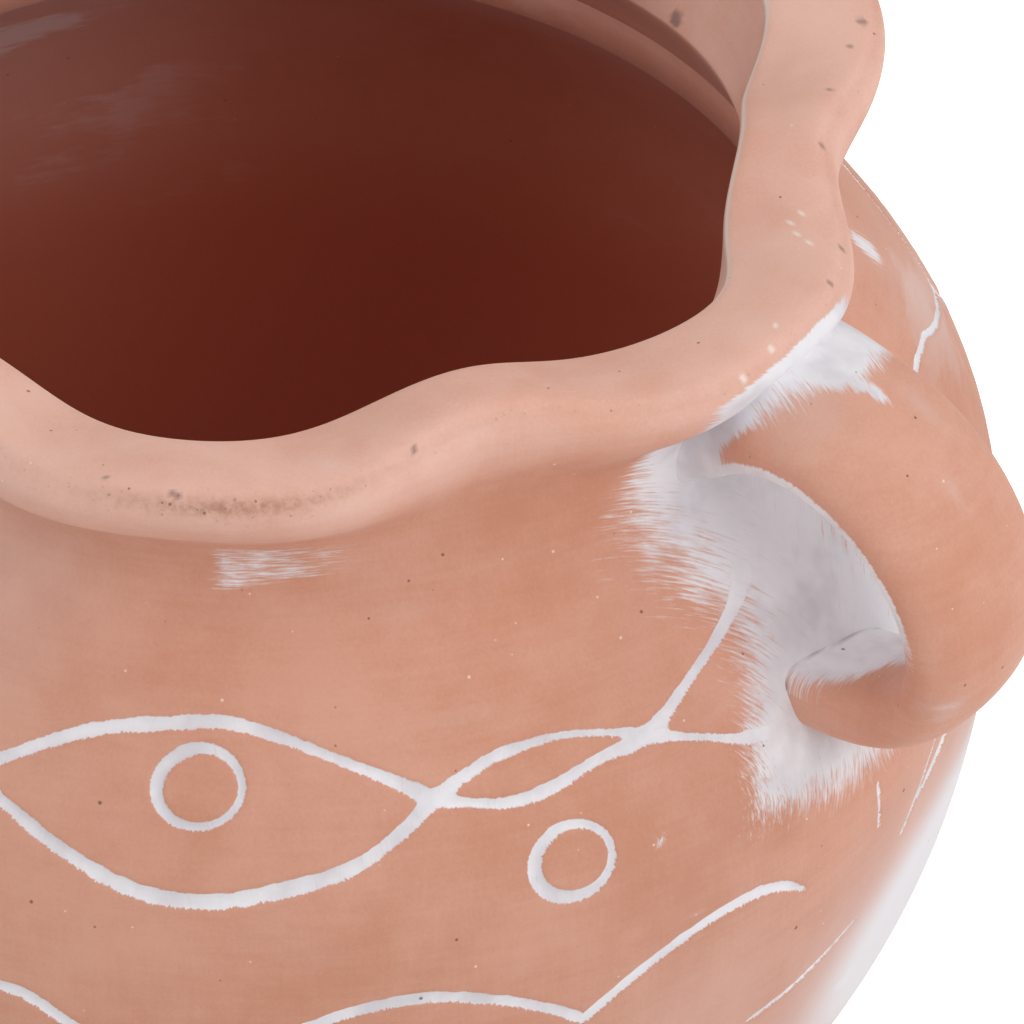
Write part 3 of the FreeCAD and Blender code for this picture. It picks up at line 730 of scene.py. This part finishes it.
# Over the ears the slip rides up on the lip's edge, to the ring given for each distance from the ear.
slip_ends, slip_ring_fringe = 24, 0.3
aside = handle_offset(turns) * radius / MM
slip_ring = np.interp(aside, [-22, -14, -6, 4, 12, 18], [12.4, 13.4, 14.8, 15.6, 14.6, 12.6])
cover = np.where(on_ring < slip_ends, np.minimum(cover, (slip_ring - on_ring) / slip_ring_fringe), no_slip)

# On the neck in front a smear of slip was wiped off sideways. Its sizes are in millimetres.
smear_start, smear_length, smear_cover, smear_last_ring = math.radians(273.6), 9, 0.15, 12
smear_low, smear_high = (132.6, 0.16), (138.6, -0.05)
smear_across = (turns - smear_start) * radius / MM
smear_up = height / MM
smear_ends = np.minimum(smear_across / 1.5, (smear_length - smear_across) / 8)
over_low = smear_up - smear_low[0] - smear_low[1] * smear_across
under_high = smear_high[0] + smear_high[1] * smear_across - smear_up
smear = np.minimum(np.minimum(smear_ends, np.minimum(over_low, under_high)), smear_cover)
smear = np.where(on_ring < smear_last_ring, smear, no_slip)
smear_marks = np.stack([smear_across, smear_up + 40, 0 * smear_up], 1)
stroke = np.where((smear > cover)[:, None], smear_marks, stroke)
cover = np.clip(np.maximum(cover, smear), no_slip, solid_slip)

# Dirt and painted shade darken the groove all round, and most at the front.
dirt_shade_middle, dirt_shade_spread, groove_half = 275, 9.5, 1.5
front_dirt_and_shade = np.exp(-((np.degrees(turns) - dirt_shade_middle) / dirt_shade_spread) ** 2)
dirt_and_shade = np.exp(-((on_ring - groove_ring) / groove_half) ** 2) * (0.15 + 0.85 * front_dirt_and_shade)
# Single marks on the lip: ring, degrees round the pot and radius in millimetres.
iron_specks = [
    (16.3, 291.8, 0.5), (17.8, 20, 0.65), (18.3, 16.5, 0.5), (18.3, 8.5, 0.5), (16.6, 358.5, 0.55),
    (16.1, 345, 0.5), (17, 338.8, 0.45), (18, 264, 0.35), (16.9, 270, 0.35), (16.5, 270.3, 0.35),
    (29.3, 39, 1.0), (17.2, 205, 0.5), (19, 141, 0.45), (16.4, 96, 0.5)]
slip_flecks = [
    (19.4, 348.2, 0.35), (19.1, 344, 0.4), (19.7, 345, 0.35), (20.1, 346.4, 0.3), (15.8, 323.5, 0.5),
    (17.1, 327.4, 0.4), (18.6, 329.8, 0.4), (18.8, 152.5, 0.4), (19.6, 149, 0.35)]


def marks_at(specks):
    """A mask of round marks on the collar."""
    mask = np.zeros(len(collar_points))
    for ring, place, size in specks:
        column = round(place / 360 * collar_columns) % collar_columns
        at = collar_points[round(ring * collar_spans) * collar_columns + column]
        away = np.linalg.norm(collar_points - at, axis=1) / MM
        mask = np.maximum(mask, np.clip((size - away) / 0.3 + 0.5, 0, 1))
    return mask


rim_collar = build_mesh("collar", collar_points, collar_faces.reshape(-1, 4).tolist(), {
    "line": np.tile((0.0, 6.0, 0.0), (len(collar_points), 1)),
    "wash": cover,
    "stroke": stroke,
    "pale": np.interp(on_ring, [7, 13, 31, 33], [0, 1, 1, 0.3]),
    "film_and_light": film_and_light_left(slip_films, radius, turns, height),
    "dirt_and_shade": dirt_and_shade,
    # A painted highlight along the mouth's edge, together with the slip flecks on the lip.
    "highlight_and_flecks": np.maximum(np.exp(-((on_ring - mouth_ring) / 0.7) ** 2), marks_at(slip_flecks)),
    "speck": marks_at(iron_specks),
    # Under the throat the collar is blended a little to the inside red: painted shade on the surface that
    # faces down.
    "inner": np.clip((on_ring - 30.5) / 8, 0, 0.28),
})
rim_collar.data.materials.append(fired_clay("collar_clay"))
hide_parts("rim_collar")
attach(rim_collar, "root")


# handle_right, handle_left, handle_back: the ears, straps of clay pulled wet, luted under a lobe of the
# lip and on the widest part of the belly, with the slip brushed into their roots and inner sides.

handle_path = np.array([(72.4, -8.6), (101.9, 2.0), (120.9, -41.8), (87.9, -44.5)]) * MM
handle_root = np.array([66.9, -12.0]) * MM
handle_half_widths = (12.1, 12.1, 10.1)
handle_half_outer = (6.8, 5.3, 5.4)
handle_half_inner = (6.8, 5.3, 4.6)
handle_low_tilt = 2.0
root_flare = 4.5
root_narrowing = -0.5
root_sink = 9.0
root_overrun = 0.1
strap_run = 1.16
strap_rows = 120
strap_columns = 88
oval_power, square_power = 2.25, 3.4
strap_grain, strap_height, strap_sink = 40, 0.3, 0.34
# Where the slip at the upper root ends, by side of the strap, where it ends under the lower root, by share
# of the length, and the dabs and films between: share of the length, side, and half sizes.
top_slip_edge = [(-1, -0.95, -0.84, -0.52, -0.25, -0.1, 0.2, 0.6, 1),
                 (0.035, 0.066, 0.105, 0.119, 0.13, 0.158, 0.163, 0.157, 0.145)]
top_slip_fringe = [(-1, -0.84, -0.5, -0.1, 0.2, 0.5, 1), (0.014, 0.024, 0.03, 0.012, 0.008, 0.018, 0.012)]
low_slip_edge = [(0.5, 0.56, 0.62, 0.7, 0.8, 0.9, 0.925, 0.963, 1.0, 1.06),
                 (-1.3, -0.98, -0.8, -0.5, -0.2, -0.15, -0.5, -0.8, -0.97, -1)]
strap_dabs = [(0.166, 0.1, 0.012, 0.11), (0.19, 0.14, 0.022, 0.08)]
strap_films = [(0.238, 0.43, 0.035, 0.12), (0.354, 0, 0.025, 0.07), (0.15, -0.5, 0.05, 0.4),
               (0.69, -0.8, 0.03, 0.2)]


def strap_point(t):
    """Middle of the strap, out from the axis and up, at a share of its length, and its direction."""
    start, pull_up, pull_in, end = handle_path + [0, crest_height]
    rest = 1 - t
    point = start * rest ** 3 + pull_up * 3 * t * rest ** 2 + pull_in * 3 * t ** 2 * rest + end * t ** 3
    way = (pull_up - start) * rest ** 2 + (pull_in - pull_up) * 2 * t * rest + (end - pull_in) * t ** 2
    return point, way / np.linalg.norm(way)


def three_point(t, sizes):
    """A smooth run of sizes from the upper root over the middle to the lower root."""
    return sizes[0] * (2 * t - 1) * (t - 1) + sizes[1] * 4 * t * (1 - t) + sizes[2] * t * (2 * t - 1)


def strap_cover(t, side, rise):
    """Cover of the slip on the strap: its inner side, its upper root and the dabs on its back."""
    inner = min((-rise - 0.1) * 30, (side - np.interp(t, *low_slip_edge)) * 5)
    top = (np.interp(side, *top_slip_edge) - t) / np.interp(side, *top_slip_fringe)
    dab = max(2.5 - 2.5 * math.hypot((t - at) / half_t, (side - across) / half_side)
              for at, across, half_t, half_side in strap_dabs) if rise > 0 else no_slip
    return max(no_slip, min(solid_slip, max(inner, top, dab)))


def strap_film(t, side, rise):
    """How thick the films on the strap's back were left."""
    return max(0.9 * math.exp(-((t - at) / half_t) ** 2 - ((side - across) / half_side) ** 2)
               for at, across, half_t, half_side in strap_films) if rise > 0 else 0


around = np.arange(strap_columns) / strap_columns * 2 * math.pi
for number, (name, angle) in enumerate(handle_angles.items()):
    toward = np.array([math.cos(math.radians(angle)), math.sin(math.radians(angle)), 0])
    aside = np.array([-toward[1], toward[0], 0])
    points, covers, strokes, films, seams = [], [], [], [], []
    for row in range(strap_rows + 1):
        t = -root_overrun + strap_run * row / strap_rows
        inside_t = min(max(t, 0), 1)
        point, way = strap_point(inside_t)
        if t < 0:
            point = point + (handle_root + [0, crest_height] - point) * (-t / root_overrun)
        if t > 1:
            point = point + way * (t - 1) * 70 * MM
        out = np.array([-way[1], way[0]])
        low_end = max(0, (inside_t - 0.75) / 0.25)
        root_share = max(0, 1 - inside_t / 0.2) ** 2
        half_width = three_point(inside_t, handle_half_widths)
        outer_thick = three_point(inside_t, handle_half_outer)
        inner_thick = three_point(inside_t, handle_half_inner)
        power = oval_power + (square_power - oval_power) * low_end
        sides = np.sign(np.cos(around)) * np.abs(np.cos(around)) ** (2 / power)
        rises = np.sign(np.sin(around)) * np.abs(np.sin(around)) ** (2 / power)
        middle = toward * point[0] + np.array([0, 0, point[1]])
        normal = toward * out[0] + np.array([0, 0, out[1]])
        for side, rise in zip(sides, rises):
            lift = rise * (outer_thick if rise > 0 else inner_thick)
            lift -= max(0, -side - 0.5) * root_sink * root_share
            wide = half_width + root_flare * root_share * (1 if side > 0 else root_narrowing)
            place = middle + (aside * side * wide + normal * lift) * MM
            place[2] -= side * handle_low_tilt * low_end * MM
            own_noise = noise.noise(Vector(place) * strap_grain + Vector((number * 3, 0, 0)))
            wobble = (own_noise * strap_height - strap_sink) * MM
            points.append(place + (aside * side + normal * rise) * wobble)
            covers.append(strap_cover(t, side, rise))
            films.append(strap_film(t, side, rise))
            if t > 0.7:
                strokes.append((side * 10, t * 95 + number * 31, 0))
            else:
                strokes.append((t * 95, side * 12 + t * 40 + number * 31, 0))
            off_wall = math.hypot(place[0], place[1]) - np.interp(place[2], outside[:, 1], outside[:, 0])
            seams.append(0.6 * math.exp(-(off_wall / (0.3 * MM)) ** 2) if rise < 0 and t > 0.8 else 0)
    rings = np.arange(strap_rows)[:, None] * strap_columns
    here = np.arange(strap_columns)
    beside = np.roll(here, -1)
    next_rings = rings + strap_columns
    skin = np.stack([rings + here, next_rings + here, next_rings + beside, rings + beside], 2)
    ends = [tuple(here), tuple((strap_rows * strap_columns + here)[::-1])]
    faces = skin.reshape(-1, 4).tolist() + ends
    handle = build_mesh("ear_" + name.split("_")[1], np.array(points), faces, {
        "line": np.tile((0.0, 6.0, 0.0), (len(points), 1)),
        "wash": np.array(covers),
        "stroke": np.array(strokes),
        "pale": np.full(len(points), 0.2),
        "film_and_light": np.array(films),
        "seam": np.array(seams),
    })
    handle.data.materials.append(fired_clay(name + "_clay"))
    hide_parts(name)
    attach(handle, "root")


# Studio: a white floor that keeps the pot's shadow, soft lamps and the camera at the photograph's angle.

def seen_straight(tree):
    """1 for rays from the camera, reflections and see-through, 0 for the light that falls on the pot."""
    paths = add(tree, "ShaderNodeLightPath").outputs
    return maths(tree, "MAXIMUM", paths["Is Camera Ray"],
                 maths(tree, "MAXIMUM", paths["Is Glossy Ray"], paths["Is Transmission Ray"]))


floor_half = 3.0
floor_glow = 0.6
world_light = 0.36
floor_corners = [(-floor_half, -floor_half, 0), (floor_half, -floor_half, 0), (floor_half, floor_half, 0),
                 (-floor_half, floor_half, 0)]
floor_mesh = bpy.data.meshes.new("floor")
floor_mesh.from_pydata(floor_corners, [], [(0, 1, 2, 3)])
floor = bpy.data.objects.new("floor", floor_mesh)
bpy.context.scene.collection.objects.link(floor)
floor_paint = bpy.data.materials.new("floor_paint")
floor_paint.use_nodes = True
tree = floor_paint.node_tree
seen = seen_straight(tree)
paint = tree.nodes["Principled BSDF"]
paint.inputs["Base Color"].default_value = (0.9, 0.9, 0.9, 1)
paint.inputs["Roughness"].default_value = 0.9
paint.inputs["Emission Color"].default_value = (1, 1, 1, 1)
tree.links.new(maths(tree, "MULTIPLY", seen, floor_glow), paint.inputs["Emission Strength"])
floor_mesh.materials.append(floor_paint)

world = bpy.data.worlds.new("studio")
world.use_nodes = True
bpy.context.scene.world = world
tree = world.node_tree
seen = seen_straight(tree)
background = tree.nodes["Background"]
background.inputs["Color"].default_value = (1, 1, 1, 1)
tree.links.new(ramp(tree, seen, 0.0, 1.0, world_light, 1.0), background.inputs["Strength"])


def lamp(name, size, power, azimuth, elevation, distance):
    """A soft square lamp that faces the pot from an angle."""
    light = bpy.data.lights.new(name, "AREA")
    light.size = size
    light.energy = power
    turned, raised = math.radians(azimuth), math.radians(elevation)
    level = math.cos(raised)
    back = Vector((math.sin(turned) * level, -math.cos(turned) * level, math.sin(raised)))
    made = bpy.data.objects.new(name, light)
    made.location = Vector((0, 0, 0.1)) + back * distance
    made.rotation_mode = "QUATERNION"
    made.rotation_quaternion = back.to_track_quat("Z", "Y")
    bpy.context.scene.collection.objects.link(made)


lamp("right_lamp", 0.8, 6.6, 50, 33, 1.4)
lamp("left_lamp", 0.8, 3.6, -60, 40, 1.4)
lamp("top_lamp", 0.8, 1.8, 0, 85, 1.4)
lamp("far_lamp", 0.8, 3.6, 110, 35, 1.4)

camera_azimuth = math.radians(7.4)
camera_elevation = math.radians(36.13)
camera_distance = 1204.8 * MM
aim_right = 30.4 * MM
aim_down = 48.5 * MM
right = Vector((math.cos(camera_azimuth), math.sin(camera_azimuth), 0))
away = Vector((-math.sin(camera_azimuth), math.cos(camera_azimuth), 0))
back = -away * math.cos(camera_elevation) + Vector((0, 0, math.sin(camera_elevation)))
up = away * math.sin(camera_elevation) + Vector((0, 0, math.cos(camera_elevation)))
mouth = Vector((0, 0, crest_height))
station = mouth + back * camera_distance
facing = (station - (mouth + right * aim_right - up * aim_down)).normalized()
across = up.cross(facing).normalized()
upright = facing.cross(across)
lens = bpy.data.cameras.new("camera")
lens.sensor_width = 36.0
lens.lens = 351.6
camera = bpy.data.objects.new("camera", lens)
camera.matrix_world = Matrix((across, upright, facing)).transposed().to_4x4()
camera.location = station
bpy.context.scene.collection.objects.link(camera)
bpy.context.scene.camera = camera
bpy.context.scene.view_settings.view_transform = "Standard"
